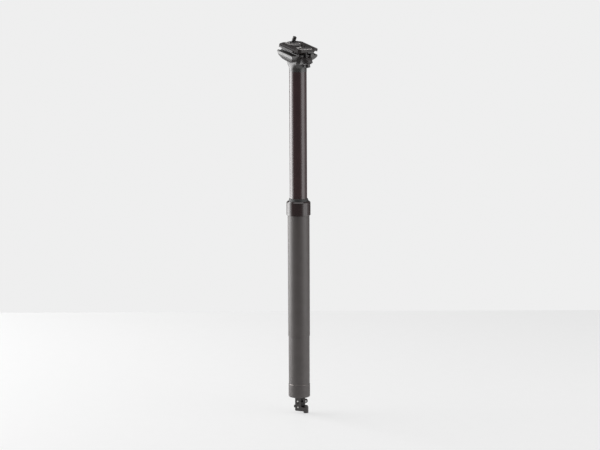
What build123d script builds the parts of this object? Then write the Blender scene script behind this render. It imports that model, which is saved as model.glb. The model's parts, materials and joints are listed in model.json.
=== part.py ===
"""Dropper seatpost for a 34.9 mm frame, 200 mm travel, modelled at full extension.

Frame: origin on the post axis at the lower face of the collar, where the post meets the top of the
frame's seat tube. +Z is up, +X is the riding direction, +Y is the rider's left. Millimetres.
"""
import os
from math import cos, radians, sin

from build123d import *

os.makedirs("parts", exist_ok=True)

# ---------------------------------------------------------------- driving dimensions
RUN_FIT = 0.05          # radial clearance of a running fit
SLIP = 0.1              # radial clearance of a loose fit
THREAD_GAP = 0.18       # radial clearance between a plain shank and its tapped hole
THROUGH = 30.0          # depth of cuts that run right through the head or the clamp

# outer tube, from the collar's lower face down
TUBE_R = 34.9 / 2
TUBE_BORE_R = 15.1
TUBE_NECK_R = 17.0      # threaded neck inside the collar
TUBE_NECK_TOP = 14.0
RELIEF_R = 33.8 / 2
RELIEF_TOP = -195.6
TUBE_BOTTOM = -274.2
CAP_R = 34.6 / 2
CAP_BOTTOM = -295.6
SPIGOT_R = 15.9
SPIGOT_TOP = -262.0
KEYWAY_R = 16.0
KEYWAY_WIDTH = 2.7
KEYWAY_TOP = -20.0
KEY_COUNT = 3

# collar and wiper
COLLAR_R = 38.2 / 2
COLLAR_TOP = 22.5
COLLAR_LIP_R = 16.1
WIPER_TOP = 26.8

# stanchion and what rides on it
STANCHION_R = 27.6 / 2
STANCHION_BORE_R = 11.4
STANCHION_TOP = 228.7
STANCHION_BOTTOM = -52.0

# gas cartridge
CYLINDER_R = 10.0
CYLINDER_BORE_R = 8.0
CYLINDER_BOTTOM = -44.0
CYLINDER_TOP = 211.0
PLUG_BOTTOM = 203.5
ROD_R = 5.0
ROD_BORE_R = 1.75
ROD_THREAD_R = 4.0
CAP_FLOOR = -286.0      # inner floor of the bottom cap
PISTON_BOTTOM = -27.0
PISTON_TOP = -15.0
FLOATER_BOTTOM = 112.0
FLOATER_TOP = 122.0

# saddle clamp, in a frame tilted nose down about the lateral axis through the rails
RAIL_Z = 262.2
RAIL_TILT = 15.0
RAIL_R = 3.5
RAIL_SPACING = 44.0
SEAT_R = 15.0           # cylindrical seat between the head and the cradle
CRADLE_HALF = 12.8      # half width of the head's seat block
BOLT_R = 3.0            # M6 clamp bolts
BOLT_HEAD_R = 4.8
NUT_R = 4.0
NUT_LENGTH = 20.5
NUT_U = 13.8            # nut centre along the rails, from the middle of the clamp
NUT_W = 6.8             # nut centre above the rail axis
WASHER_R = 5.0
WASHER_HALF = 5.5
SCREW_EDGE = 0.5        # chamfer on bolt and nut ends

# cable actuator, hanging under the bottom cap and turned about the post axis
ACTUATOR_TURN = 45.0
FLANGE_R = 12.0
FLANGE_THICK = 2.5
CHEEK_IN = 3.0          # inner and outer faces of the two cheeks
CHEEK_OUT = 4.8
PIVOT_P = 4.4           # lever pivot: across and below the cap's lower face
PIVOT_D = -12.0
ANCHOR_P = 10.5
ANCHOR_D = -7.7
ANCHOR_R = 2.1
ANCHOR_HALF = 2.9
PIN_R = 1.5
HOUSING_R = 2.55
STOP_R = 4.1


def save(piece, name):
    """Label a finished piece and write it."""
    piece.part.label = name
    export_step(piece.part, f"parts/{name}.step")


def turned(name, outline, axis=Axis.Z):
    """A turned piece: a closed outline of (radius, height) points, turned about the post axis."""
    with BuildPart() as piece:
        with BuildSketch(Plane.XZ):
            with BuildLine():
                Polyline(*outline, close=True)
            make_face()
        revolve(axis=axis)
    save(piece, name)
    return piece


def ring(name, inner, outer, bottom, top):
    """A plain ring about the post axis."""
    return turned(name, [(inner, bottom), (outer, bottom), (outer, top), (inner, top)])


# ---------------------------------------------------------------- outer tube
KEYWAY_BOTTOM = SPIGOT_TOP + 2
ORING_SECTION = 0.45

with BuildPart() as outer_tube:
    with BuildSketch(Plane.XZ):
        with BuildLine():
            Polyline(
                (TUBE_BORE_R, TUBE_NECK_TOP),
                (TUBE_NECK_R, TUBE_NECK_TOP),
                (TUBE_NECK_R, 0),
                (TUBE_R, 0),
                (TUBE_R, RELIEF_TOP),
                (RELIEF_R, RELIEF_TOP - 0.6),
                (RELIEF_R, TUBE_BOTTOM),
                (SPIGOT_R, TUBE_BOTTOM),
                (SPIGOT_R, SPIGOT_TOP + 1),
                (TUBE_BORE_R, SPIGOT_TOP + 1),
                close=True,
            )
        make_face()
    revolve(axis=Axis.Z)
    # keyways broached in the bore
    with BuildSketch(Plane.XY.offset(KEYWAY_BOTTOM)):
        with PolarLocations(KEYWAY_R - 0.75, KEY_COUNT):
            Rectangle(1.5, KEYWAY_WIDTH)
    extrude(amount=KEYWAY_TOP - KEYWAY_BOTTOM, mode=Mode.SUBTRACT)
    # groove for the collar's O-ring
    with BuildSketch(Plane.XZ):
        with Locations((TUBE_NECK_R - 0.4, 11.5)):
            Rectangle(0.8, 1.1)
    revolve(axis=Axis.Z, mode=Mode.SUBTRACT)
save(outer_tube, "outer_tube")

with BuildPart() as collar_o_ring:
    with BuildSketch(Plane.XZ):
        with Locations((TUBE_NECK_R - 0.35, 11.5)):
            Circle(ORING_SECTION - 0.13)
    revolve(axis=Axis.Z)
save(collar_o_ring, "collar_o_ring")

ring("upper_bushing", STANCHION_R + RUN_FIT, TUBE_BORE_R, -2.0, TUBE_NECK_TOP)
ring("top_out_bumper", STANCHION_R + 0.25, TUBE_BORE_R, -6.0, -2.2)

# ---------------------------------------------------------------- collar and wiper
GROOVE_Z = COLLAR_TOP - 2.6

with BuildPart() as collar:
    with BuildSketch(Plane.XZ):
        with BuildLine():
            Polyline(
                (TUBE_NECK_R + 0.02, 0),
                (COLLAR_R - 0.5, 0),
                (COLLAR_R, 0.5),
                (COLLAR_R, COLLAR_TOP - 1.7),
                (COLLAR_R - 1.7, COLLAR_TOP),
                (COLLAR_LIP_R, COLLAR_TOP),
                (COLLAR_LIP_R, COLLAR_TOP - 2),
                (TUBE_NECK_R + 0.02, COLLAR_TOP - 2),
                close=True,
            )
        make_face()
    revolve(axis=Axis.Z)
    # fine turned line below the upper edge
    with BuildSketch(Plane.XZ):
        with Locations((COLLAR_R, GROOVE_Z)):
            Rectangle(0.4, 0.4)
    revolve(axis=Axis.Z, mode=Mode.SUBTRACT)
save(collar, "collar")

ring("foam_ring", STANCHION_R + SLIP, TUBE_NECK_R - 0.2, TUBE_NECK_TOP + 0.1, 17.2)

LIP_R = STANCHION_R + SLIP
turned("wiper_seal", [
    (LIP_R, 17.3),
    (TUBE_NECK_R - 0.05, 17.3),
    (TUBE_NECK_R - 0.05, COLLAR_TOP - 2.05),
    (COLLAR_LIP_R - 0.05, COLLAR_TOP - 2.05),
    (COLLAR_LIP_R - 0.05, COLLAR_TOP + 0.5),
    (LIP_R + 1.1, WIPER_TOP - 0.5),
    (LIP_R + 0.5, WIPER_TOP),
    (LIP_R, WIPER_TOP),
    (LIP_R, 20.5),
    (LIP_R + 0.6, 20.0),
    (LIP_R + 0.6, 19.0),
    (LIP_R, 18.5),
])

# ---------------------------------------------------------------- stanchion
KEY_TOP = -30.0
KEY_LENGTH = 14.0
KEY_WIDTH = KEYWAY_WIDTH - 0.2
KEY_INNER = STANCHION_R - 0.9
BUSH_TOP = -8.0
BUSH_BOTTOM = -27.0
BUSH_SEAT_R = STANCHION_R - 0.4

with BuildPart() as stanchion:
    with BuildSketch(Plane.XZ):
        with BuildLine():
            Polyline(
                (STANCHION_BORE_R, STANCHION_BOTTOM),
                (STANCHION_R - 0.6, STANCHION_BOTTOM),
                (STANCHION_R, STANCHION_BOTTOM + 0.6),
                (STANCHION_R, BUSH_BOTTOM),
                (BUSH_SEAT_R, BUSH_BOTTOM),
                (BUSH_SEAT_R, BUSH_TOP),
                (STANCHION_R, BUSH_TOP),
                (STANCHION_R, STANCHION_TOP),
                (STANCHION_BORE_R, STANCHION_TOP),
                close=True,
            )
        make_face()
    revolve(axis=Axis.Z)
    with BuildSketch(Plane.XY.offset(KEY_TOP)):
        with PolarLocations(KEY_INNER + 1, KEY_COUNT):
            Rectangle(2, KEY_WIDTH)
    extrude(amount=-KEY_LENGTH, mode=Mode.SUBTRACT)
save(stanchion, "stanchion")

ring("lower_bushing", BUSH_SEAT_R, TUBE_BORE_R - RUN_FIT, BUSH_BOTTOM, BUSH_TOP)

KEY_OUTER = KEYWAY_R - 0.15
with BuildPart() as anti_rotation_keys:
    with BuildSketch(Plane.XY.offset(KEY_TOP)):
        with PolarLocations((KEY_INNER + KEY_OUTER) / 2, KEY_COUNT):
            Rectangle(KEY_OUTER - KEY_INNER, KEY_WIDTH)
    extrude(amount=-KEY_LENGTH)
    fillet(anti_rotation_keys.edges().filter_by(GeomType.LINE).group_by(Axis.Z)[-1], 0.2)
save(anti_rotation_keys, "anti_rotation_keys")

# ---------------------------------------------------------------- gas cartridge
GUIDE_TOP = -33.0
turned("cartridge_cylinder", [
    (CYLINDER_BORE_R, CYLINDER_BOTTOM),
    (CYLINDER_R, CYLINDER_BOTTOM),
    (CYLINDER_R, CYLINDER_TOP),
    (CYLINDER_BORE_R, CYLINDER_TOP),
])

CARTRIDGE_BOLT_R = 3.0
turned("cartridge_end_plug", [
    (CARTRIDGE_BOLT_R, PLUG_BOTTOM + 2),
    (0, PLUG_BOTTOM + 2),
    (0, PLUG_BOTTOM),
    (CYLINDER_BORE_R, PLUG_BOTTOM),
    (CYLINDER_BORE_R, CYLINDER_TOP),
    (CARTRIDGE_BOLT_R, CYLINDER_TOP),
])

turned("rod_guide", [
    (ROD_R + RUN_FIT, CYLINDER_BOTTOM + 1.6),
    (CYLINDER_BORE_R, CYLINDER_BOTTOM + 1.6),
    (CYLINDER_BORE_R, GUIDE_TOP),
    (ROD_R + RUN_FIT, GUIDE_TOP),
])
ring("rod_seal", ROD_R + RUN_FIT, CYLINDER_BORE_R, GUIDE_TOP, GUIDE_TOP + 2.5)
ring("guide_retaining_ring", ROD_R + 1.0, CYLINDER_BORE_R, CYLINDER_BOTTOM + 0.3, CYLINDER_BOTTOM + 1.6)

turned("piston_rod", [
    (ROD_BORE_R, CAP_BOTTOM + FLANGE_THICK),
    (ROD_THREAD_R, CAP_BOTTOM + FLANGE_THICK),
    (ROD_THREAD_R, CAP_FLOOR + 5),
    (ROD_R, CAP_FLOOR + 5),
    (ROD_R, PISTON_BOTTOM),
    (ROD_THREAD_R - 1, PISTON_BOTTOM),
    (ROD_THREAD_R - 1, PISTON_TOP - 2),
    (ROD_BORE_R, PISTON_TOP - 2),
])

SEAL_Z = (PISTON_BOTTOM + PISTON_TOP) / 2
turned("main_piston", [
    (ROD_THREAD_R - 1, PISTON_BOTTOM),
    (CYLINDER_BORE_R - RUN_FIT, PISTON_BOTTOM),
    (CYLINDER_BORE_R - RUN_FIT, SEAL_Z - 1),
    (CYLINDER_BORE_R - 1.2, SEAL_Z - 1),
    (CYLINDER_BORE_R - 1.2, SEAL_Z + 1),
    (CYLINDER_BORE_R - RUN_FIT, SEAL_Z + 1),
    (CYLINDER_BORE_R - RUN_FIT, PISTON_TOP),
    (ROD_THREAD_R, PISTON_TOP),
    (ROD_THREAD_R, PISTON_TOP - 2),
    (ROD_THREAD_R - 1, PISTON_TOP - 2),
])
ring("piston_seal", CYLINDER_BORE_R - 1.2, CYLINDER_BORE_R - RUN_FIT, SEAL_Z - 1, SEAL_Z + 1)

FLOATER_SEAL_Z = (FLOATER_BOTTOM + FLOATER_TOP) / 2
turned("floating_piston", [
    (0, FLOATER_BOTTOM + 3),
    (4.5, FLOATER_BOTTOM + 3),
    (4.5, FLOATER_BOTTOM),
    (CYLINDER_BORE_R - RUN_FIT, FLOATER_BOTTOM),
    (CYLINDER_BORE_R - RUN_FIT, FLOATER_SEAL_Z - 1),
    (CYLINDER_BORE_R - 1.2, FLOATER_SEAL_Z - 1),
    (CYLINDER_BORE_R - 1.2, FLOATER_SEAL_Z + 1),
    (CYLINDER_BORE_R - RUN_FIT, FLOATER_SEAL_Z + 1),
    (CYLINDER_BORE_R - RUN_FIT, FLOATER_TOP),
    (0, FLOATER_TOP),
])
ring("floating_piston_seal", CYLINDER_BORE_R - 1.2, CYLINDER_BORE_R - RUN_FIT,
     FLOATER_SEAL_Z - 1, FLOATER_SEAL_Z + 1)

# ---------------------------------------------------------------- bottom cap
CAP_BORE_R = 12.0
turned_cap = [
    (ROD_THREAD_R, CAP_BOTTOM + FLANGE_THICK),
    (FLANGE_R + SLIP, CAP_BOTTOM + FLANGE_THICK),
    (FLANGE_R + SLIP, CAP_BOTTOM),
    (CAP_R - 1.4, CAP_BOTTOM),
    (CAP_R - 0.4, CAP_BOTTOM + 0.4),
    (CAP_R, CAP_BOTTOM + 1.4),
    (CAP_R, TUBE_BOTTOM - 0.5),
    (CAP_R - 0.5, TUBE_BOTTOM),
    (SPIGOT_R - 0.05, TUBE_BOTTOM),
    (SPIGOT_R - 0.05, TUBE_BOTTOM + 4),
    (SPIGOT_R - 0.8, TUBE_BOTTOM + 4),
    (SPIGOT_R - 0.8, TUBE_BOTTOM + 5.4),
    (SPIGOT_R - 0.05, TUBE_BOTTOM + 5.4),
    (SPIGOT_R - 0.05, SPIGOT_TOP),
    (CAP_BORE_R, SPIGOT_TOP),
    (CAP_BORE_R, CAP_FLOOR),
    (ROD_THREAD_R, CAP_FLOOR),
]
SCREW_CIRCLE = 9.6
SCREW_TURNS = (55, 125, 235, 305)
SCREW_R = 1.25
with BuildPart() as bottom_cap:
    with BuildSketch(Plane.XZ):
        with BuildLine():
            Polyline(*turned_cap, close=True)
        make_face()
    revolve(axis=Axis.Z)
    # tapped holes for the bracket screws
    for turn in SCREW_TURNS:
        angle = radians(turn + ACTUATOR_TURN)
        with Locations(Location((SCREW_CIRCLE * cos(angle), SCREW_CIRCLE * sin(angle), CAP_FLOOR - 2))):
            Cylinder(SCREW_R, 5.1, align=(Align.CENTER, Align.CENTER, Align.MAX), mode=Mode.SUBTRACT)
save(bottom_cap, "bottom_cap")

with BuildPart() as cap_o_ring:
    with BuildSketch(Plane.XZ):
        with Locations((SPIGOT_R - 0.42, TUBE_BOTTOM + 4.7)):
            Circle(0.36)
    revolve(axis=Axis.Z)
save(cap_o_ring, "cap_o_ring")

with BuildPart() as rod_nut:
    with BuildSketch(Plane.XY.offset(CAP_FLOOR)):
        RegularPolygon(7.2, 6)
        Circle(ROD_THREAD_R, mode=Mode.SUBTRACT)
    extrude(amount=4.9)
    chamfer(rod_nut.edges().filter_by(GeomType.LINE).group_by(Axis.Z)[-1], 0.5)
save(rod_nut, "rod_nut")

# ---------------------------------------------------------------- head: frames shared with the clamp
TILT_COS = cos(radians(RAIL_TILT))
TILT_SIN = sin(radians(RAIL_TILT))
RAILS_ALONG = Vector(TILT_COS, 0, -TILT_SIN)
CLAMP_SIDE = Plane(origin=(0, 0, RAIL_Z), x_dir=RAILS_ALONG, z_dir=(0, -1, 0))   # (u, w) sketches
CLAMP_FRONT = Plane(origin=(0, 0, RAIL_Z), x_dir=(0, 1, 0), z_dir=RAILS_ALONG)   # (l, w) sketches
FRONT_SEAT = Vector(20.4, 0, RAIL_Z - 21.5)     # where each bolt head pivots on the head
REAR_SEAT = Vector(-21.9, 0, RAIL_Z - 12.0)
FRONT_NUT = CLAMP_SIDE.from_local_coords(Vector(NUT_U, NUT_W, 0))
REAR_NUT = CLAMP_SIDE.from_local_coords(Vector(-NUT_U, NUT_W, 0))


def bolt_plane(seat, nut):
    """Plane across a bolt at its head's seat: local x points forward, the normal runs to the nut."""
    along = (nut - seat).normalized()
    return Plane(origin=seat, x_dir=Vector(along.Z, 0, -along.X), z_dir=along)


def bolt_side_plane(seat, nut):
    """Side plane of a bolt: local x points forward across it, local y runs to the nut."""
    along = (nut - seat).normalized()
    return Plane(origin=seat, x_dir=Vector(along.Z, 0, -along.X), z_dir=(0, -1, 0))


FRONT_BOLT = bolt_plane(FRONT_SEAT, FRONT_NUT)
REAR_BOLT = bolt_plane(REAR_SEAT, REAR_NUT)
FRONT_BOLT_SIDE = bolt_side_plane(FRONT_SEAT, FRONT_NUT)
REAR_BOLT_SIDE = bolt_side_plane(REAR_SEAT, REAR_NUT)

# ---------------------------------------------------------------- forged head
NECK_R = 13.9
NECK_TOP = 235.0
SHOULDER_Z = 242.5
BLOCK_TOP = RAIL_Z - 7.0
BLOCK_HALF = 16.5
EAR_HALF = 9.4
EAR_GAP = 1.2           # the half-round washers stand this far out of the ears
SLOT_LENGTH = 8.6
SLOT_WIDTH = 6.8
BOLT_POCKET_R = 5.2
BOLT_POCKET_FLOOR = 236.0
HEAD_SPIGOT_BOTTOM = CYLINDER_TOP + 0.2

# ears that the bolts hang from: a side outline, rounded off in plan about the bolt
with BuildPart() as front_ear:
    with BuildSketch(FRONT_BOLT_SIDE):
        with BuildLine():
            Polyline((-15, EAR_GAP), (7.2, EAR_GAP))
            ThreePointArc((7.2, EAR_GAP), (9.2, 2.6), (9.2, 5.0))
            Polyline((9.2, 5.0), (5.0, 9.4), (-4.4, 14.0), (-15, 14.0), (-15, EAR_GAP))
        make_face()
    extrude(amount=EAR_HALF, both=True)
    with BuildSketch(FRONT_BOLT):
        Circle(EAR_HALF)
        Rectangle(15, 2 * EAR_HALF, align=(Align.MAX, Align.CENTER))
    extrude(amount=20, mode=Mode.INTERSECT)

with BuildPart() as rear_ear:
    with BuildSketch(REAR_BOLT_SIDE):
        with BuildLine():
            Polyline((15, EAR_GAP), (-6.0, EAR_GAP))
            ThreePointArc((-6.0, EAR_GAP), (-8.2, 2.8), (-8.2, 5.0))
            Polyline((-8.2, 5.0), (-5.0, 7.8), (15, 7.8), (15, EAR_GAP))
        make_face()
    extrude(amount=EAR_HALF, both=True)
    with BuildSketch(REAR_BOLT):
        Circle(EAR_HALF)
        Rectangle(15, 2 * EAR_HALF, align=(Align.MIN, Align.CENTER))
    extrude(amount=20, mode=Mode.INTERSECT)

with BuildPart() as head:
    # spigot inside the stanchion and round neck above it
    with BuildSketch(Plane.XZ):
        with BuildLine():
            Polyline(
                (0, HEAD_SPIGOT_BOTTOM),
                (STANCHION_BORE_R - 0.02, HEAD_SPIGOT_BOTTOM),
                (STANCHION_BORE_R - 0.02, STANCHION_TOP),
                (NECK_R, STANCHION_TOP),
                (NECK_R, NECK_TOP),
                (0, NECK_TOP),
                close=True,
            )
        make_face()
    revolve(axis=Axis.Z)
    # flare from the round neck to the seat block
    with BuildSketch(Plane.XY.offset(NECK_TOP)):
        Circle(NECK_R)
    with BuildSketch(Plane.XY.offset(SHOULDER_Z)):
        RectangleRounded(2 * BLOCK_HALF - 1, 2 * CRADLE_HALF, 8)
    loft()
    with BuildSketch(Plane.XY.offset(SHOULDER_Z)):
        RectangleRounded(2 * BLOCK_HALF - 1, 2 * CRADLE_HALF, 8)
    with BuildSketch(Plane.XY.offset(BLOCK_TOP)):
        RectangleRounded(2 * BLOCK_HALF + 1, 2 * CRADLE_HALF, 7)
    loft()
    add(front_ear.part)
    add(rear_ear.part)
    # concave seat for the cradle, open above
    with BuildSketch(Plane.XZ):
        with Locations((0, RAIL_Z)):
            Circle(SEAT_R + RUN_FIT)
    extrude(amount=THROUGH, both=True, mode=Mode.SUBTRACT)
    for plane, side in ((FRONT_BOLT, FRONT_BOLT_SIDE), (REAR_BOLT, REAR_BOLT_SIDE)):
        # slot that lets the bolt swing, then the groove that its half-round washer rocks in
        with BuildSketch(plane):
            SlotOverall(SLOT_LENGTH, SLOT_WIDTH)
        extrude(amount=THROUGH, mode=Mode.SUBTRACT)
        with BuildSketch(side):
            Circle(WASHER_R + RUN_FIT)
        extrude(amount=WASHER_HALF + 0.3, both=True, mode=Mode.SUBTRACT)
    # hole and pocket for the cartridge bolt
    with BuildSketch(Plane.XY.offset(HEAD_SPIGOT_BOTTOM)):
        Circle(CARTRIDGE_BOLT_R + SLIP)
    extrude(amount=BOLT_POCKET_FLOOR - HEAD_SPIGOT_BOTTOM + 1, mode=Mode.SUBTRACT)
    with BuildSketch(Plane.XY.offset(BOLT_POCKET_FLOOR)):
        Circle(BOLT_POCKET_R)
    extrude(amount=20, mode=Mode.SUBTRACT)
save(head, "head")

CARTRIDGE_BOLT_HEAD_R = 4.9
CARTRIDGE_BOLT_HEAD = 5.5
CARTRIDGE_BOLT_TIP = PLUG_BOTTOM + 2.5

with BuildPart() as cartridge_bolt:
    with BuildSketch(Plane.XY.offset(CARTRIDGE_BOLT_TIP)):
        Circle(CARTRIDGE_BOLT_R - RUN_FIT)
    extrude(amount=BOLT_POCKET_FLOOR - CARTRIDGE_BOLT_TIP)
    # head, with its hexagon socket
    with BuildSketch(Plane.XY.offset(BOLT_POCKET_FLOOR)):
        Circle(CARTRIDGE_BOLT_HEAD_R)
    extrude(amount=CARTRIDGE_BOLT_HEAD)
    with BuildSketch(Plane.XY.offset(BOLT_POCKET_FLOOR + CARTRIDGE_BOLT_HEAD)):
        RegularPolygon(2.9, 6)
    extrude(amount=2.2 - CARTRIDGE_BOLT_HEAD, mode=Mode.SUBTRACT)
save(cartridge_bolt, "cartridge_bolt")

# ---------------------------------------------------------------- lower cradle
RAIL_L = RAIL_SPACING / 2
WING_IN = CRADLE_HALF + 0.3
WING_OUT = 27.8
WING_HALF = 17.5
WING_ROUND = 18.6       # the wings' undersides follow this radius about the tilt axis
WING_SIDE_W = -5.0
CORE_HALF = 9.8
CARTRIDGE_BOLT_RELIEF = 4.5

with BuildPart() as lower_cradle:
    with BuildSketch(CLAMP_FRONT.offset(-WING_HALF)):
        with BuildLine():
            Polyline(
                (WING_IN, -19.2), (WING_IN, -0.8), (20.0, -0.8), (22.0, -1.4), (24.25, -2.68),
                (WING_OUT - 0.6, -2.9), (WING_OUT, -3.6), (WING_OUT, -5.0),
            )
            ThreePointArc((WING_OUT, -5.0), (23.6, -12.6), (WING_IN, -19.2))
        make_face()
        mirror(about=Plane.YZ)
        with Locations((RAIL_L, 0), (-RAIL_L, 0)):
            Circle(RAIL_R, mode=Mode.SUBTRACT)
    extrude(amount=2 * WING_HALF)
    # round the wings' undersides so that they clear the head at every tilt
    with BuildSketch(CLAMP_SIDE):
        Circle(WING_ROUND)
        with Locations((0, WING_SIDE_W)):
            Rectangle(2 * WING_HALF + 1, 12, align=(Align.CENTER, Align.MIN))
    extrude(amount=THROUGH, both=True, mode=Mode.INTERSECT)
    # core that rocks on the head's seat
    with BuildSketch(CLAMP_SIDE):
        Circle(SEAT_R)
        with Locations((0, -0.8)):
            Rectangle(2 * CORE_HALF, 40, align=(Align.CENTER, Align.MAX), mode=Mode.INTERSECT)
    extrude(amount=WING_IN + 0.2, both=True)
    # clearance over the cartridge bolt
    with BuildSketch(CLAMP_SIDE):
        with Locations((0, -SEAT_R)):
            Circle(CARTRIDGE_BOLT_RELIEF)
    extrude(amount=BOLT_POCKET_R + 1.8, both=True, mode=Mode.SUBTRACT)
save(lower_cradle, "lower_cradle")

# ---------------------------------------------------------------- upper clamp
CLAMP_PLAN = Plane(origin=(0, 0, RAIL_Z), x_dir=RAILS_ALONG, z_dir=(TILT_SIN, 0, TILT_COS))   # (u, l)
CLAMP_HALF = 21.2
EAR_LENGTH_HALF = WING_HALF
EAR_OUT = 27.8
CLAMP_UNDER = 0.3
CLAMP_TOP = 7.4
ARCH_TOP = 8.6
RELIEF_DEPTH = 2.0
RELIEF_LENGTH = 13.0
RELIEF_WIDTH = 24.0
POCKET_HALF = NUT_LENGTH / 2 + 0.3
POCKET_BEVEL = 0.7

with BuildPart() as upper_clamp:
    # section across the rails: an arch over each rail and a lower bridge between them
    with BuildSketch(CLAMP_FRONT.offset(-CLAMP_HALF)):
        with BuildLine():
            Polyline((15.0, ARCH_TOP - 0.5), (13.0, CLAMP_TOP), (0, CLAMP_TOP), (0, CLAMP_UNDER),
                     (20.0, CLAMP_UNDER), (22.0, 2.0), (24.45, 2.5), (EAR_OUT - 0.4, 2.6), (EAR_OUT, 3.2))
            ThreePointArc((EAR_OUT, 3.2), (26.4, 6.2), (22.5, ARCH_TOP - 0.8))
            ThreePointArc((22.5, ARCH_TOP - 0.8), (18.8, ARCH_TOP), (15.0, ARCH_TOP - 0.5))
        make_face()
        mirror(about=Plane.YZ)
        with Locations((RAIL_L, 0), (-RAIL_L, 0)):
            Circle(RAIL_R, mode=Mode.SUBTRACT)
    extrude(amount=2 * CLAMP_HALF)
    # outline seen from above: the ears are shorter than the middle
    with BuildSketch(CLAMP_PLAN.offset(-1)):
        with BuildLine():
            Polyline(
                (CLAMP_HALF, 0), (CLAMP_HALF, 13.5), (EAR_LENGTH_HALF, 18.0), (EAR_LENGTH_HALF, 25.6),
                (EAR_LENGTH_HALF - 2.2, EAR_OUT + 0.2), (2.2 - EAR_LENGTH_HALF, EAR_OUT + 0.2),
                (-EAR_LENGTH_HALF, 25.6), (-EAR_LENGTH_HALF, 18.0), (-CLAMP_HALF, 13.5), (-CLAMP_HALF, 0),
                close=True,
            )
        make_face()
        mirror(about=Plane.XZ)
    extrude(amount=14, mode=Mode.INTERSECT)
    # bevels under the front and rear edges, and a shallow relief in the middle of the top
    for end in (1, -1):
        with BuildSketch(CLAMP_SIDE):
            with BuildLine():
                Polyline((end * (CLAMP_HALF - 2.5), 0), (end * (CLAMP_HALF - 2.5), CLAMP_UNDER),
                         (end * CLAMP_HALF, 3.4), (end * (CLAMP_HALF + 1), 3.4),
                         (end * (CLAMP_HALF + 1), 0), close=True)
            make_face()
        extrude(amount=THROUGH, both=True, mode=Mode.SUBTRACT)
    with BuildSketch(CLAMP_PLAN.offset(CLAMP_TOP)):
        RectangleRounded(RELIEF_LENGTH, RELIEF_WIDTH, 3)
    extrude(amount=-RELIEF_DEPTH, taper=30, mode=Mode.SUBTRACT)
    for end in (1, -1):
        # cradle for the nut, open above, with a bevelled rim
        with BuildSketch(CLAMP_SIDE):
            with Locations((end * NUT_U, NUT_W)):
                Circle(NUT_R + SLIP)
                Rectangle(2 * (NUT_R + SLIP), 6, align=(Align.CENTER, Align.MIN))
        extrude(amount=POCKET_HALF, both=True, mode=Mode.SUBTRACT)
        with BuildSketch(CLAMP_PLAN.offset(CLAMP_TOP)):
            with Locations((end * NUT_U, 0)):
                Rectangle(2 * (NUT_R + SLIP + POCKET_BEVEL), 2 * (POCKET_HALF + POCKET_BEVEL))
        extrude(amount=-POCKET_BEVEL, taper=45, mode=Mode.SUBTRACT)
    for plane in (FRONT_BOLT, REAR_BOLT):
        with BuildSketch(plane.offset(8)):
            SlotOverall(SLOT_LENGTH + 0.4, SLOT_WIDTH)
        extrude(amount=THROUGH, mode=Mode.SUBTRACT)
save(upper_clamp, "upper_clamp")

# ---------------------------------------------------------------- bolts, washers and barrel nuts
BOLT_HEAD_LENGTH = 5.0
SOCKET_R = 2.3
SOCKET_DEPTH = 2.8
FRONT_BOLT_LENGTH = 28.4
REAR_BOLT_LENGTH = 36.5


def clamp_bolt(plane, length, name):
    """Socket-head bolt whose head bears on the seat point and whose shank runs to the nut."""
    with BuildPart() as bolt:
        with BuildSketch(plane.offset(-BOLT_HEAD_LENGTH)):
            Circle(BOLT_HEAD_R)
        extrude(amount=BOLT_HEAD_LENGTH)
        with BuildSketch(plane):
            Circle(BOLT_R)
        extrude(amount=length)
        ends = bolt.faces().filter_by(GeomType.PLANE)
        tip = max(ends, key=lambda face: (face.center() - plane.origin).dot(plane.z_dir))
        base = min(ends, key=lambda face: (face.center() - plane.origin).dot(plane.z_dir))
        chamfer(tip.edges() + base.edges(), SCREW_EDGE)
        with BuildSketch(plane.offset(-BOLT_HEAD_LENGTH)):
            RegularPolygon(SOCKET_R, 6)
        extrude(amount=SOCKET_DEPTH, mode=Mode.SUBTRACT)
    save(bolt, name)


def half_round_washer(side_plane, plane, name):
    """Washer with a flat for the bolt head and a half-round back that rocks in the ear."""
    with BuildPart() as washer:
        with BuildSketch(side_plane):
            Circle(WASHER_R)
            Rectangle(2 * WASHER_R + 1, WASHER_R + 1, align=(Align.CENTER, Align.MAX), mode=Mode.SUBTRACT)
        extrude(amount=WASHER_HALF, both=True)
        with BuildSketch(plane):
            Circle(BOLT_R + SLIP)
        extrude(amount=WASHER_R + 1, mode=Mode.SUBTRACT)
    save(washer, name)


def barrel_nut(centre, plane, name):
    """Round cross nut with a tapped hole along its bolt."""
    with BuildPart() as nut:
        with BuildSketch(Plane(origin=centre, x_dir=plane.x_dir, z_dir=(0, -1, 0))):
            Circle(NUT_R)
        extrude(amount=NUT_LENGTH / 2, both=True)
        chamfer(nut.edges().filter_by(GeomType.CIRCLE), SCREW_EDGE)
        with BuildSketch(Plane(origin=centre, x_dir=plane.x_dir, z_dir=plane.z_dir)):
            Circle(BOLT_R + THREAD_GAP)
        extrude(amount=NUT_R + 1, both=True, mode=Mode.SUBTRACT)
    save(nut, name)


clamp_bolt(FRONT_BOLT, FRONT_BOLT_LENGTH, "front_clamp_bolt")
clamp_bolt(REAR_BOLT, REAR_BOLT_LENGTH, "rear_clamp_bolt")
half_round_washer(FRONT_BOLT_SIDE, FRONT_BOLT, "front_half_round_washer")
half_round_washer(REAR_BOLT_SIDE, REAR_BOLT, "rear_half_round_washer")
barrel_nut(FRONT_NUT, FRONT_BOLT, "front_barrel_nut")
barrel_nut(REAR_NUT, REAR_BOLT, "rear_barrel_nut")

# ---------------------------------------------------------------- cable actuator
TURN_COS = cos(radians(ACTUATOR_TURN))
TURN_SIN = sin(radians(ACTUATOR_TURN))
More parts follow.
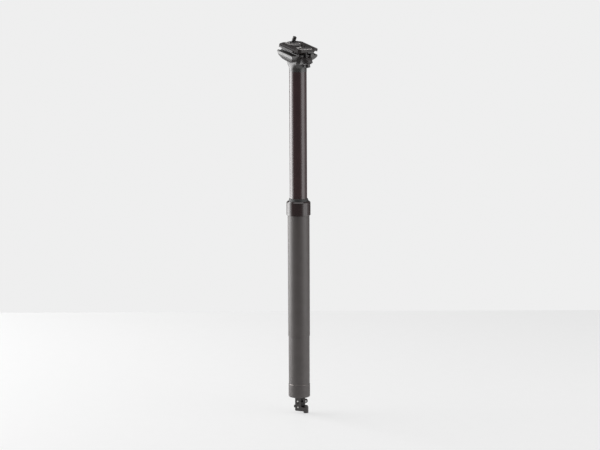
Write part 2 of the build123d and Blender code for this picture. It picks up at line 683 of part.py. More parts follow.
# (p, d) sketches: p runs across the actuator, d up from the cap's lower face, the normal is q
ACTUATOR = Plane(origin=(0, 0, CAP_BOTTOM), x_dir=(TURN_COS, TURN_SIN, 0), z_dir=(TURN_SIN, -TURN_COS, 0))
SPINE_P = -6.9
STOP_BOTTOM = -27.4
RIVETS = ((-2.8, -7.6), (-2.4, -17.4))
RIVET_R = 0.9
RIVET_HEAD_R = 1.15
RIVET_HEAD = 0.4
KNOB_D = -16.5
KNOB_SHANK_R = 1.2
KNOB_R = 2.2
CSK_R = 2.2             # countersink of the bracket screws
CSK_DEPTH = 1.0


def actuator_point(across, down, out=0.0):
    """A point of the actuator in the post's frame."""
    return ACTUATOR.from_local_coords(Vector(across, down, out))


with BuildPart() as actuator_bracket:
    # round flange let into the cap
    with BuildSketch(Plane.XY.offset(CAP_BOTTOM)):
        Circle(FLANGE_R)
    extrude(amount=FLANGE_THICK)
    # front cheek with its hooked foot
    with BuildSketch(ACTUATOR.offset(CHEEK_IN)):
        with BuildLine():
            Polyline((SPINE_P, 0), (2.7, 0), (2.7, -15.4))
            ThreePointArc((2.7, -15.4), (3.4, -17.3), (5.3, -18.0))
            Line((5.3, -18.0), (7.2, -18.0))
            ThreePointArc((7.2, -18.0), (10.3, -19.3), (11.6, -22.4))
            Polyline((11.6, -22.4), (11.6, -25.2), (4.0, -24.2), (-5.4, -23.1))
            ThreePointArc((-5.4, -23.1), (-6.5, -22.6), (SPINE_P, -21.5))
            Line((SPINE_P, -21.5), (SPINE_P, 0))
        make_face()
    extrude(amount=CHEEK_OUT - CHEEK_IN)
    # back cheek, which also carries the lever's pivot and the housing stop
    with BuildSketch(ACTUATOR.offset(-CHEEK_OUT)):
        with BuildLine():
            Polyline(
                (SPINE_P, 0), (8.3, 0), (8.3, -14.8), (12.2, -17.2), (12.2, -25.2),
                (4.0, -24.2), (-5.4, -23.1), (SPINE_P, -21.5), close=True,
            )
        make_face()
    extrude(amount=CHEEK_OUT - CHEEK_IN)
    # spine joining the cheeks
    with BuildSketch(ACTUATOR.offset(-CHEEK_OUT)):
        with Locations((SPINE_P, 0)):
            Rectangle(1.8, 21.5, align=(Align.MIN, Align.MAX))
    extrude(amount=2 * CHEEK_OUT)
    # housing stop
    with BuildSketch(Plane(origin=actuator_point(ANCHOR_P, STOP_BOTTOM))):
        Circle(STOP_R)
    extrude(amount=11.8)
    with BuildSketch(ACTUATOR):
        with BuildLine():
            Polyline((5.5, -18.4), (9.0, -16.0), (9.6, -15.8), (15, -17.8), (15, -14), (5.5, -14), close=True)
        make_face()
    extrude(amount=CHEEK_IN - 0.05, both=True, mode=Mode.SUBTRACT)
    # ferrule bore from below and the hole for the cable above it
    with BuildSketch(Plane(origin=actuator_point(ANCHOR_P, STOP_BOTTOM))):
        Circle(HOUSING_R)
    extrude(amount=8, mode=Mode.SUBTRACT)
    with BuildSketch(Plane(origin=actuator_point(ANCHOR_P, STOP_BOTTOM))):
        Circle(1.1)
    extrude(amount=13, mode=Mode.SUBTRACT)
    # holes: release pin, rivets, lightening hole, pivot pin, spring screw
    with BuildSketch(Plane.XY.offset(CAP_BOTTOM)):
        Circle(PIN_R + RUN_FIT)
    extrude(amount=FLANGE_THICK, mode=Mode.SUBTRACT)
    with BuildSketch(ACTUATOR):
        with Locations(*RIVETS):
            Circle(RIVET_R)
    extrude(amount=CHEEK_OUT, both=True, mode=Mode.SUBTRACT)
    with BuildSketch(ACTUATOR):
        with Locations((-2.4, -11.2)):
            Circle(0.9)
    extrude(amount=CHEEK_OUT, mode=Mode.SUBTRACT)
    with BuildSketch(ACTUATOR):
        with Locations((PIVOT_P, PIVOT_D)):
            Circle(PIN_R)
    extrude(amount=-CHEEK_OUT, mode=Mode.SUBTRACT)
    with BuildSketch(Plane(origin=actuator_point(SPINE_P, KNOB_D), z_dir=ACTUATOR.x_dir)):
        Circle(KNOB_SHANK_R)
    extrude(amount=2, mode=Mode.SUBTRACT)
    for turn in SCREW_TURNS:
        angle = radians(turn + ACTUATOR_TURN)
        with Locations(Location((SCREW_CIRCLE * cos(angle), SCREW_CIRCLE * sin(angle), CAP_BOTTOM))):
            Cylinder(SCREW_R + SLIP, FLANGE_THICK, align=(Align.CENTER, Align.CENTER, Align.MIN),
                     mode=Mode.SUBTRACT)
            Cone(CSK_R, SCREW_R, CSK_DEPTH, align=(Align.CENTER, Align.CENTER, Align.MIN),
                 mode=Mode.SUBTRACT)
save(actuator_bracket, "actuator_bracket")

with BuildPart() as bracket_screws:
    for turn in SCREW_TURNS:
        angle = radians(turn + ACTUATOR_TURN)
        with Locations(Location((SCREW_CIRCLE * cos(angle), SCREW_CIRCLE * sin(angle), CAP_BOTTOM))):
            Cone(CSK_R, SCREW_R, CSK_DEPTH, align=(Align.CENTER, Align.CENTER, Align.MIN))
            Cylinder(SCREW_R, 7.0, align=(Align.CENTER, Align.CENTER, Align.MIN))
            Cylinder(0.8, 0.8, align=(Align.CENTER, Align.CENTER, Align.MIN), mode=Mode.SUBTRACT)
save(bracket_screws, "bracket_screws")

with BuildPart() as cheek_rivets:
    with BuildSketch(ACTUATOR):
        with Locations(*RIVETS):
            Circle(RIVET_R)
    extrude(amount=CHEEK_OUT, both=True)
    for face_out in (CHEEK_OUT, -CHEEK_OUT - RIVET_HEAD):
        with BuildSketch(ACTUATOR.offset(face_out)):
            with Locations(*RIVETS):
                Circle(RIVET_HEAD_R)
        extrude(amount=RIVET_HEAD)
save(cheek_rivets, "cheek_rivets")

with BuildPart() as spring_screw:
    with BuildSketch(Plane(origin=actuator_point(SPINE_P, KNOB_D), z_dir=ACTUATOR.x_dir)):
        Circle(KNOB_SHANK_R)
    extrude(amount=2.7)
    with BuildSketch(Plane(origin=actuator_point(SPINE_P, KNOB_D), z_dir=ACTUATOR.x_dir)):
        Circle(KNOB_R)
    extrude(amount=-1.9)
    chamfer(spring_screw.edges().filter_by(GeomType.CIRCLE).sort_by(Axis(
        (0, 0, 0), ACTUATOR.x_dir))[0], 0.5)
save(spring_screw, "spring_screw")

# ---------------------------------------------------------------- lever, pivot and spring
LEVER_HALF = 2.6
TOE = 2.9               # square section of the toe and its arm
TOE_P = -1.4
PIVOT_BOSS_R = 2.8
CLIP_GROOVE = 1.4       # height of the clip's groove along the pivot
CLIP_THICK = 0.5
CLIP_R = 2.5
CLIP_INNER_R = PIN_R - 0.4
ARM_FACE = -0.6         # front face of the lever's thin pivot arm
TOE_D = -10.5           # flat that lifts the release pin

with BuildPart() as lever:
    # stem and the lobe round the cable anchor
    with BuildSketch(ACTUATOR):
        with BuildLine():
            Polyline((6.2, -4.2), (7.0, -3.4), (9.0, -3.4), (9.6, -4.4), (9.6, -13.0), (8.4, -14.2),
                     (7.2, -14.2), (6.2, -13.2), close=True)
        make_face()
        with Locations((ANCHOR_P, ANCHOR_D)):
            Circle(3.0)
    extrude(amount=LEVER_HALF, both=True)
    with BuildSketch(ACTUATOR.offset(ARM_FACE)):
        with Locations((PIVOT_P, PIVOT_D)):
            Circle(PIVOT_BOSS_R + 0.2)
    extrude(amount=LEVER_HALF - ARM_FACE, mode=Mode.SUBTRACT)
    # pivot boss and arm
    with BuildSketch(ACTUATOR.offset(-LEVER_HALF)):
        with Locations((PIVOT_P, PIVOT_D)):
            Circle(PIVOT_BOSS_R)
        with Locations((TOE_P, TOE_D)):
            Rectangle(9, TOE, align=(Align.MIN, Align.MAX))
    extrude(amount=LEVER_HALF + ARM_FACE)
    # wide toe under the release pin
    with BuildSketch(ACTUATOR.offset(-LEVER_HALF)):
        with Locations((TOE_P, TOE_D)):
            Rectangle(TOE, TOE, align=(Align.MIN, Align.MAX))
    extrude(amount=2 * LEVER_HALF - 0.4)
    # pivot hole, anchor hole and the slot that the cable swings in
    with BuildSketch(ACTUATOR):
        with Locations((PIVOT_P, PIVOT_D)):
            Circle(PIN_R + RUN_FIT)
        with Locations((ANCHOR_P, ANCHOR_D)):
            Circle(ANCHOR_R + RUN_FIT)
    extrude(amount=LEVER_HALF, both=True, mode=Mode.SUBTRACT)
    with BuildSketch(Plane(origin=actuator_point(ANCHOR_P, ANCHOR_D), x_dir=ACTUATOR.x_dir, z_dir=(0, 0, 1))):
        Rectangle(3.0, 2.0)
    extrude(amount=6, both=True, mode=Mode.SUBTRACT)
save(lever, "lever")

with BuildPart() as cable_anchor:
    with BuildSketch(ACTUATOR):
        with Locations((ANCHOR_P, ANCHOR_D)):
            Circle(ANCHOR_R)
    extrude(amount=ANCHOR_HALF, both=True)
    chamfer(cable_anchor.edges().filter_by(GeomType.CIRCLE), 0.3)
    with BuildSketch(Plane(origin=actuator_point(ANCHOR_P, ANCHOR_D))):
        Circle(0.85)
    extrude(amount=4, both=True, mode=Mode.SUBTRACT)
    with BuildSketch(ACTUATOR.offset(0.9)):
        with Locations((ANCHOR_P, ANCHOR_D)):
            Circle(1.25)
    extrude(amount=4, mode=Mode.SUBTRACT)
save(cable_anchor, "cable_anchor")

with BuildPart() as anchor_grub_screw:
    with BuildSketch(ACTUATOR.offset(0.95)):
        with Locations((ANCHOR_P, ANCHOR_D)):
            Circle(1.2)
    extrude(amount=1.8)
    with BuildSketch(ACTUATOR.offset(1.55)):
        with Locations((ANCHOR_P, ANCHOR_D)):
            RegularPolygon(0.7, 6)
    extrude(amount=2.0, mode=Mode.SUBTRACT)
save(anchor_grub_screw, "anchor_grub_screw")

with BuildPart() as pivot_pin:
    with BuildSketch(ACTUATOR.offset(-CHEEK_OUT)):
        with Locations((PIVOT_P, PIVOT_D)):
            Circle(PIN_R)
    extrude(amount=CHEEK_OUT + 2.4)
    with BuildSketch(ACTUATOR.offset(-CHEEK_OUT)):
        with Locations((PIVOT_P, PIVOT_D)):
            Circle(2.4)
    extrude(amount=-0.6)
    with BuildSketch(ACTUATOR.offset(CLIP_GROOVE)):
        with Locations((PIVOT_P, PIVOT_D)):
            Circle(PIN_R)
            Circle(CLIP_INNER_R, mode=Mode.SUBTRACT)
    extrude(amount=CLIP_THICK, mode=Mode.SUBTRACT)
save(pivot_pin, "pivot_pin")

with BuildPart() as pivot_clip:
    with BuildSketch(ACTUATOR.offset(CLIP_GROOVE)):
        with Locations((PIVOT_P, PIVOT_D)):
            Circle(CLIP_R)
            Circle(CLIP_INNER_R, mode=Mode.SUBTRACT)
        with Locations((PIVOT_P, PIVOT_D - 2)):
            Rectangle(1.6, 3, mode=Mode.SUBTRACT)
    extrude(amount=CLIP_THICK)
save(pivot_clip, "pivot_clip")

SPRING_R = 2.15
WIRE_R = 0.28
with BuildPart() as return_spring:
    with BuildLine() as spring_path:
        coil = Helix(pitch=0.62, height=1.24, radius=SPRING_R,
                     center=actuator_point(PIVOT_P, PIVOT_D, ARM_FACE + 0.35), direction=ACTUATOR.z_dir)
        Line(coil @ 1, coil @ 1 + (coil % 1) * 3.2)
        Line(coil @ 0 - (coil % 0) * 3.2, coil @ 0)
    with BuildSketch(Plane(origin=spring_path.line @ 0, z_dir=spring_path.line % 0)):
        Circle(WIRE_R)
    sweep(path=spring_path.line, is_frenet=True)
save(return_spring, "return_spring")

# ---------------------------------------------------------------- release pin and valve poppet
PIN_TIP_D = TOE_D + 0.05
PIN_TOP = PISTON_TOP - 4
with BuildPart() as release_pin:
    with BuildSketch(Plane.XZ):
        with BuildLine():
            Polyline((0, PIN_TOP), (PIN_R, PIN_TOP), (PIN_R, CAP_BOTTOM + PIN_TIP_D + PIN_R))
            RadiusArc((PIN_R, CAP_BOTTOM + PIN_TIP_D + PIN_R), (0, CAP_BOTTOM + PIN_TIP_D), PIN_R)
            Line((0, CAP_BOTTOM + PIN_TIP_D), (0, PIN_TOP))
        make_face()
    revolve(axis=Axis.Z)
save(release_pin, "release_pin")

turned("valve_poppet", [
    (0, PIN_TOP + 0.02),
    (PIN_R, PIN_TOP + 0.02),
    (PIN_R, PISTON_TOP - 1.9),
    (PIN_R + 2.2, PISTON_TOP - 1.9),
    (PIN_R + 1.6, PISTON_TOP - 0.4),
    (0, PISTON_TOP - 0.4),
])
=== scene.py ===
"""Looks for the dropper seatpost: materials, small visual pieces, studio, floor and camera."""
import json
import math

import bmesh
import bpy
from mathutils import Matrix, Vector


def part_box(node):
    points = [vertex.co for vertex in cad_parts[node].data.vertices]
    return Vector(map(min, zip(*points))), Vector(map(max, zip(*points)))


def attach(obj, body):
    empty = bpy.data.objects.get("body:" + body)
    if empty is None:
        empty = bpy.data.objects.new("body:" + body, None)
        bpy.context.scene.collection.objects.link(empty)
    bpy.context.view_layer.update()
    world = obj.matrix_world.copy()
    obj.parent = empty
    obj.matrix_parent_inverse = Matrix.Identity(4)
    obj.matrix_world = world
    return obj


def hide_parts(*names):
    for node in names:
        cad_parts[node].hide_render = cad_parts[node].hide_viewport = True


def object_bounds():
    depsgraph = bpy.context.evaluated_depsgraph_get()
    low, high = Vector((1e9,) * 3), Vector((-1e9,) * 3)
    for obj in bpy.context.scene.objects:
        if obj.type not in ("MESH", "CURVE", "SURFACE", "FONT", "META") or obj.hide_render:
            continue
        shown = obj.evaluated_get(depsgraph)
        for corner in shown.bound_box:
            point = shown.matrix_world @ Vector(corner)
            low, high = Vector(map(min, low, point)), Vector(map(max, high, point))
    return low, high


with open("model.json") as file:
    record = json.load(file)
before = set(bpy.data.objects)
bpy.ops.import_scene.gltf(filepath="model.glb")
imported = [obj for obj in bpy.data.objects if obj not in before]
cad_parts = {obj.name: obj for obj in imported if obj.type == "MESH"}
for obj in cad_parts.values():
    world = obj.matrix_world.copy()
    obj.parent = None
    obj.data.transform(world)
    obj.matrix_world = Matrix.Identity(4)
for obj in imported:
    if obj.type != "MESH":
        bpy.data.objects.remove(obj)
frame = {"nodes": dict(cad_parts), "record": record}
cad_box = [list(corner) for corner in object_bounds()]
nodes = frame["nodes"]
MM = 0.001
WHITE = (1, 1, 1, 1)

# ------------------------------------------------------------------ camera
VIEW_AZIMUTH = math.radians(46.0)
VIEW_ELEVATION = math.radians(8.6)
VIEW_DISTANCE = 3.51
VIEW_ROLL = math.radians(-0.25)
AIM_BELOW_COLLAR = 0.0163
AIM_RIGHT_OF_AXIS = 0.0022
LENS = 132.0
SENSOR_WIDTH = 36.0
CLIP_END = 50

view_right = Vector((math.cos(VIEW_AZIMUTH), math.sin(VIEW_AZIMUTH), 0))
view_back = Vector((
    math.sin(VIEW_AZIMUTH) * math.cos(VIEW_ELEVATION),
    -math.cos(VIEW_AZIMUTH) * math.cos(VIEW_ELEVATION),
    math.sin(VIEW_ELEVATION),
))


def make_camera():
    """Long-lens camera at the viewing angle, aimed a little below the collar."""
    data = bpy.data.cameras.new("camera")
    data.lens = LENS
    data.sensor_width = SENSOR_WIDTH
    data.clip_end = CLIP_END
    camera = bpy.data.objects.new("camera", data)
    bpy.context.scene.collection.objects.link(camera)
    aim = Vector((0, 0, -AIM_BELOW_COLLAR)) + view_right * AIM_RIGHT_OF_AXIS
    camera.location = aim + view_back * VIEW_DISTANCE
    turn = (-view_back).to_track_quat("-Z", "Y").to_matrix()
    camera.rotation_mode = "QUATERNION"
    camera.rotation_quaternion = (turn @ Matrix.Rotation(VIEW_ROLL, 3, "Z")).to_quaternion()
    bpy.context.scene.camera = camera


# ------------------------------------------------------------------ studio
# Sizes in this section are in metres.
FLOOR_GAP = 0.0002
FLOOR_REACH = 0.87
FLOOR_CELLS = 4
FLOOR_DARK = (0.207, 0.207, 0.207)
FLOOR_LIGHT = (0.213, 0.213, 0.213)
FLOOR_ROUGHNESS = 0.5
FLOOR_SPECULAR = 0.25
FLOOR_GRAIN = 40.0
FLOOR_GLOW = 0.612
# The backdrop's tone to the eye, and how strongly it lights the post.
SEEN_TONE = (0.862, 0.862, 0.862, 1)
LIT_STRENGTH = 0.19
SOFTBOX_HEIGHT = 2.2
SOFTBOX_DISTANCE = 1.5
SOFTBOX_MIDDLE = 0.25
# Name, degrees round from the camera's azimuth, width, radiance.
SIDE_SOFTBOXES = (
    ("left_softbox", -112, 1.4, 6.0),
    ("left_feather", -80, 0.62, 1.4),
    ("right_softbox", 70, 1.3, 2.1),
    ("right_feather", 42, 0.6, 0.45),
    ("right_back", 103, 0.62, 0.5),
)
TOP_SIZE = 1.6
TOP_HEIGHT = 1.7
TOP_OFF_AXIS = 0.01
TOP_RADIANCE = 1.7


def make_floor():
    """Square pale floor, turned to the camera's azimuth, just under the lowest point."""
    mesh = bpy.data.meshes.new("floor")
    floor = bpy.data.objects.new("floor", mesh)
    bpy.context.scene.collection.objects.link(floor)
    made = bmesh.new()
    bmesh.ops.create_grid(made, x_segments=FLOOR_CELLS, y_segments=FLOOR_CELLS, size=FLOOR_REACH)
    made.to_mesh(mesh)
    made.free()
    floor.rotation_euler.z = VIEW_AZIMUTH
    floor.location.z = cad_box[0][2] - FLOOR_GAP
    material, tree, shader = new_material("floor_paper")
    shader.inputs["Roughness"].default_value = FLOOR_ROUGHNESS
    shader.inputs["Specular IOR Level"].default_value = FLOOR_SPECULAR
    tint(tree, shader, noise(tree, FLOOR_GRAIN, 3), FLOOR_DARK, FLOOR_LIGHT)
    shader.inputs["Emission Color"].default_value = WHITE
    shader.inputs["Emission Strength"].default_value = FLOOR_GLOW
    mesh.materials.append(material)


def make_softbox(name, turn, width, height, distance, middle, radiance):
    """Soft light at an azimuth measured from the camera's, aimed at the frame's origin."""
    data = bpy.data.lights.new(name, "AREA")
    data.shape = "RECTANGLE"
    data.size = width
    data.size_y = height
    data.energy = radiance * math.pi * width * height
    light = bpy.data.objects.new(name, data)
    bpy.context.scene.collection.objects.link(light)
    angle = VIEW_AZIMUTH + math.radians(turn)
    light.location = (math.sin(angle) * distance, -math.cos(angle) * distance, middle)
    light.rotation_mode = "QUATERNION"
    light.rotation_quaternion = (-light.location).to_track_quat("-Z", "Y")


def make_softboxes():
    """The tall lights round the post and the square one above it."""
    for name, turn, width, radiance in SIDE_SOFTBOXES:
        make_softbox(name, turn, width, SOFTBOX_HEIGHT, SOFTBOX_DISTANCE, SOFTBOX_MIDDLE, radiance)
    make_softbox("top_softbox", 0, TOP_SIZE, TOP_SIZE, TOP_OFF_AXIS, TOP_HEIGHT, TOP_RADIANCE)


def make_world():
    """Pale studio: bright to the eye, dimmer as a source of light."""
    world = bpy.data.worlds.new("studio")
    bpy.context.scene.world = world
    world.use_nodes = True
    tree = world.node_tree
    tree.nodes.clear()
    out = tree.nodes.new("ShaderNodeOutputWorld")
    mix = tree.nodes.new("ShaderNodeMixShader")
    path = tree.nodes.new("ShaderNodeLightPath")
    seen = tree.nodes.new("ShaderNodeBackground")
    seen.inputs["Color"].default_value = SEEN_TONE
    lit = tree.nodes.new("ShaderNodeBackground")
    lit.inputs["Color"].default_value = WHITE
    lit.inputs["Strength"].default_value = LIT_STRENGTH
    tree.links.new(path.outputs["Is Camera Ray"], mix.inputs["Fac"])
    tree.links.new(lit.outputs["Background"], mix.inputs[1])
    tree.links.new(seen.outputs["Background"], mix.inputs[2])
    tree.links.new(mix.outputs["Shader"], out.inputs["Surface"])


# ------------------------------------------------------------------ material tools
# A noise texture's useful values lie between these two.
NOISE_LOW = 0.3
NOISE_HIGH = 0.7
# Noise scales for tone and roughness, and the height of the fine grain in metres.
MOTTLE_SCALE = 60.0
SMUDGE_SCALE = 180.0
GRAIN_DEPTH = 0.00002


def new_material(name):
    """A node material with a plain Principled shader."""
    material = bpy.data.materials.new(name)
    material.use_nodes = True
    tree = material.node_tree
    return material, tree, tree.nodes["Principled BSDF"]


def noise(tree, scale, detail):
    """Noise over the object's own coordinates."""
    place = tree.nodes.new("ShaderNodeTexCoord")
    texture = tree.nodes.new("ShaderNodeTexNoise")
    texture.inputs["Scale"].default_value = scale
    texture.inputs["Detail"].default_value = detail
    tree.links.new(place.outputs["Object"], texture.inputs["Vector"])
    return texture


def tint(tree, shader, texture, dark, light):
    """Base colour between two tones, driven by a texture."""
    ramp = tree.nodes.new("ShaderNodeValToRGB")
    ramp.color_ramp.elements[0].position = NOISE_LOW
    ramp.color_ramp.elements[0].color = (*dark, 1)
    ramp.color_ramp.elements[1].position = NOISE_HIGH
    ramp.color_ramp.elements[1].color = (*light, 1)
    tree.links.new(texture.outputs["Fac"], ramp.inputs["Fac"])
    tree.links.new(ramp.outputs["Color"], shader.inputs["Base Color"])


def rough(tree, shader, texture, low, high):
    """Roughness between two values, driven by a texture."""
    span = tree.nodes.new("ShaderNodeMapRange")
    span.inputs["From Min"].default_value = NOISE_LOW
    span.inputs["From Max"].default_value = NOISE_HIGH
    span.inputs["To Min"].default_value = low
    span.inputs["To Max"].default_value = high
    tree.links.new(texture.outputs["Fac"], span.inputs["Value"])
    tree.links.new(span.outputs["Result"], shader.inputs["Roughness"])


def bump(tree, shader, texture, strength):
    """Fine relief from a texture."""
    relief = tree.nodes.new("ShaderNodeBump")
    relief.inputs["Strength"].default_value = strength
    relief.inputs["Distance"].default_value = GRAIN_DEPTH
    tree.links.new(texture.outputs["Fac"], relief.inputs["Height"])
    tree.links.new(relief.outputs["Normal"], shader.inputs["Normal"])


def finish_of(name, dark, light, roughness, metallic=0.0, ior=1.5, grain=900.0, relief=0.15,
              spread=0.03):
    """One surface finish: mottled tone, uneven roughness and a fine grain."""
    material, tree, shader = new_material(name)
    shader.inputs["Metallic"].default_value = metallic
    shader.inputs["IOR"].default_value = ior
    tint(tree, shader, noise(tree, MOTTLE_SCALE, 3), dark, light)
    rough(tree, shader, noise(tree, SMUDGE_SCALE, 4), roughness - spread, roughness + spread)
    bump(tree, shader, noise(tree, grain, 3), relief)
    return material


# ------------------------------------------------------------------ materials
# Painted shade on the front ear: the forging's colour fades to a near-black shade tone between
# these two places along X, in metres.
EAR_SHADE_STARTS = 0.0125
EAR_SHADE_FULL = 0.0165
EAR_PAINTED_SHADE = (0.008, 0.004, 0.004, 1)
EAR_DULLING = 0.2
FINISHES = {
    "tube_anodised": dict(
        dark=(0.051, 0.043, 0.041), light=(0.061, 0.052, 0.050),
        roughness=0.48, ior=1.6, grain=2600.0, relief=0.25,
    ),
    "gloss_anodised": dict(
        dark=(0.016, 0.008, 0.008), light=(0.023, 0.012, 0.012),
        roughness=0.20, ior=1.6, grain=2400.0, relief=0.03, spread=0.006,
    ),
    "stanchion_coat": dict(
        dark=(0.026, 0.010, 0.011), light=(0.034, 0.014, 0.015),
        roughness=0.19, ior=1.66, grain=1400.0, relief=0.008, spread=0.004,
    ),
    "forged_satin": dict(
        dark=(0.024, 0.022, 0.021), light=(0.036, 0.033, 0.031),
        roughness=0.30, ior=1.65, grain=1400.0, relief=0.015, spread=0.012,
    ),
    "cradle_satin": dict(
        dark=(0.022, 0.020, 0.019), light=(0.034, 0.031, 0.030),
        roughness=0.30, ior=1.7, grain=1400.0, relief=0.015, spread=0.012,
    ),
    "clamp_black": dict(
        dark=(0.012, 0.009, 0.009), light=(0.019, 0.015, 0.014),
        roughness=0.28, ior=1.46, grain=1400.0, relief=0.04,
    ),
    "black_steel": dict(
        dark=(0.030, 0.028, 0.028), light=(0.055, 0.052, 0.052),
        roughness=0.28, metallic=0.6, grain=1500.0, relief=0.2,
    ),
    "bright_steel": dict(
        dark=(0.52, 0.51, 0.50), light=(0.66, 0.65, 0.64),
        roughness=0.22, metallic=1.0, grain=1500.0, relief=0.1,
    ),
    "rod_chrome": dict(
        dark=(0.70, 0.70, 0.71), light=(0.78, 0.78, 0.79),
        roughness=0.08, metallic=1.0,
    ),
    "cartridge_metal": dict(
        dark=(0.52, 0.52, 0.53), light=(0.62, 0.62, 0.63),
        roughness=0.30, metallic=1.0,
    ),
    "seal_rubber": dict(
        dark=(0.014, 0.014, 0.014), light=(0.026, 0.025, 0.025),
        roughness=0.55, grain=2200.0, relief=0.3,
    ),
    "foam": dict(
        dark=(0.06, 0.06, 0.06), light=(0.12, 0.12, 0.12),
        roughness=0.9, grain=900.0, relief=0.9,
    ),
    "bushing_plastic": dict(
        dark=(0.20, 0.19, 0.17), light=(0.26, 0.25, 0.23),
        roughness=0.5,
    ),
    "key_brass": dict(
        dark=(0.52, 0.38, 0.15), light=(0.62, 0.46, 0.20),
        roughness=0.25, metallic=1.0,
    ),
    "cast_black": dict(
        dark=(0.026, 0.021, 0.021), light=(0.040, 0.033, 0.033),
        roughness=0.36, ior=1.6, grain=1500.0, relief=0.35,
    ),
}


def paint_front_ear_shade(material):
    """Paints shade over the front ear: fades the forging's colour to a near-black shade tone and
    makes it duller.
    """
    tree = material.node_tree
    shader = tree.nodes["Principled BSDF"]
    tone = shader.inputs["Base Color"].links[0].from_socket
    place = tree.nodes.new("ShaderNodeTexCoord")
    split = tree.nodes.new("ShaderNodeSeparateXYZ")
    fade = tree.nodes.new("ShaderNodeMapRange")
    fade.interpolation_type = "SMOOTHSTEP"
    fade.inputs["From Min"].default_value = EAR_SHADE_STARTS
    fade.inputs["From Max"].default_value = EAR_SHADE_FULL
    mix = tree.nodes.new("ShaderNodeMix")
    mix.data_type = "RGBA"
    mix.inputs["B"].default_value = EAR_PAINTED_SHADE
    tree.links.new(place.outputs["Object"], split.inputs["Vector"])
    tree.links.new(split.outputs["X"], fade.inputs["Value"])
    tree.links.new(fade.outputs["Result"], mix.inputs["Factor"])
    tree.links.new(tone, mix.inputs["A"])
    tree.links.new(mix.outputs["Result"], shader.inputs["Base Color"])
    even = shader.inputs["Roughness"].links[0].from_socket
    dull = tree.nodes.new("ShaderNodeMath")
    dull.operation = "MULTIPLY_ADD"
    dull.inputs[1].default_value = EAR_DULLING
    tree.links.new(fade.outputs["Result"], dull.inputs[0])
    tree.links.new(even, dull.inputs[2])
    tree.links.new(dull.outputs["Value"], shader.inputs["Roughness"])


def dress_nodes():
    """Gives every CAD node the detailed finish of its material slot."""
    made = {slot: finish_of(f"look_{slot}", **values) for slot, values in FINISHES.items()}
    # Painted shade: the forging's front ear is coloured near-black.
    paint_front_ear_shade(made["forged_satin"])
    for row in frame["record"]["subparts"]:
        piece = nodes[row["node"]]
        for place in piece.material_slots:
            place.material = made[row["material_slot"]]
    return made


# ------------------------------------------------------------------ small visual pieces
# Sizes in this section are in millimetres.
JOINTS = {row["name"]: row for row in frame["record"]["behaviour"]["joints"]}
# The clamp's own directions: along the rails, across them, and up out of its top.
CLAMP_TILT = math.radians(15.0)
ALONG = Vector((math.cos(CLAMP_TILT), 0, -math.sin(CLAMP_TILT)))
ACROSS = Vector((0, 1, 0))
UP = Vector((math.sin(CLAMP_TILT), 0, math.cos(CLAMP_TILT)))
# How far an added skin stands off the solid below it.
LIFT = 0.02

THREAD_PITCH = 1.0
THREAD_ROOT = 2.97
THREAD_CREST = 3.12
THREAD_SUNK = 0.05
THREAD_ROOT_HALF = 0.42
THREAD_CREST_HALF = 0.08
THREAD_STEPS = 28
# Where each thread starts and ends along its bolt, from the bolt's seat.
FRONT_THREAD = (11.0, 20.4)
REAR_THREAD = (12.0, 36.0)

NUT_R = 4.0
NUT_HALF = 10.25
NUT_CHAMFER = 0.5
NUT_BAND = 0.12
NUT_LAND = 0.7
DIMPLE_EDGE = 0.1
DIMPLE_DEPTH = 0.03
NUT_SEGMENTS = 48

# The bead runs round the pocket at this gap; NUT_W is the nut's height above the rails' axis.
POCKET_U = 4.1
POCKET_L = 10.55
CLAMP_TOP = 7.4
NUT_W = 6.8
BEAD_R = 0.55
BEAD_CORNER = 0.8
BEAD_GAP = 1.2
BEAD_CORNER_STEPS = 4
BEAD_ARC_STEPS = 6

# The cap's upper edge lies this far below the collar's lower face.
SEAM_DEPTH = 274.2
CAP_CHAMFER = 0.5
CAP_BAND = 0.25
CAP_SEGMENTS = 96

SPRING_R = 2.15
SPRING_TURNS = 2.25
SPRING_PITCH = 0.62
SPRING_START = -0.25
SPRING_STEPS = 32
SPRING_LEG = 1.2
SPRING_LEG_STEPS = 4
WIRE_R = 0.28
WIRE_SIDES = 10


def pivot(joint):
    """A joint's pivot at rest."""
    return Vector(JOINTS[joint]["pos_m"])


def add_piece(name, made, body, look):
    """Turns a bmesh into a smooth-shaded piece that rides on a body."""
    mesh = bpy.data.meshes.new(name)
    bmesh.ops.recalc_face_normals(made, faces=made.faces)
    made.to_mesh(mesh)
    made.free()
    mesh.materials.append(look)
    for face in mesh.polygons:
        face.use_smooth = True
    piece = bpy.data.objects.new(name, mesh)
    bpy.context.scene.collection.objects.link(piece)
    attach(piece, body)
    return piece


def circle_ring(made, centre, right, up, radius, count):
    """A ring of vertices on a circle; lengths in millimetres, centre in metres."""
    ring = []
    for k in range(count):
        angle = 2 * math.pi * k / count
        out = right * (radius * math.cos(angle)) + up * (radius * math.sin(angle))
        ring.append(made.verts.new(centre + out * MM))
    return ring


def loft_rings(made, rings, closed_path=False):
    """Skins a list of vertex rings, joining the last to the first on a closed path."""
    pairs = list(zip(rings, rings[1:]))
    if closed_path:
        pairs.append((rings[-1], rings[0]))
    for first, second in pairs:
        count = len(first)
        for k in range(count):
            made.faces.new((first[k], first[(k + 1) % count], second[(k + 1) % count], second[k]))


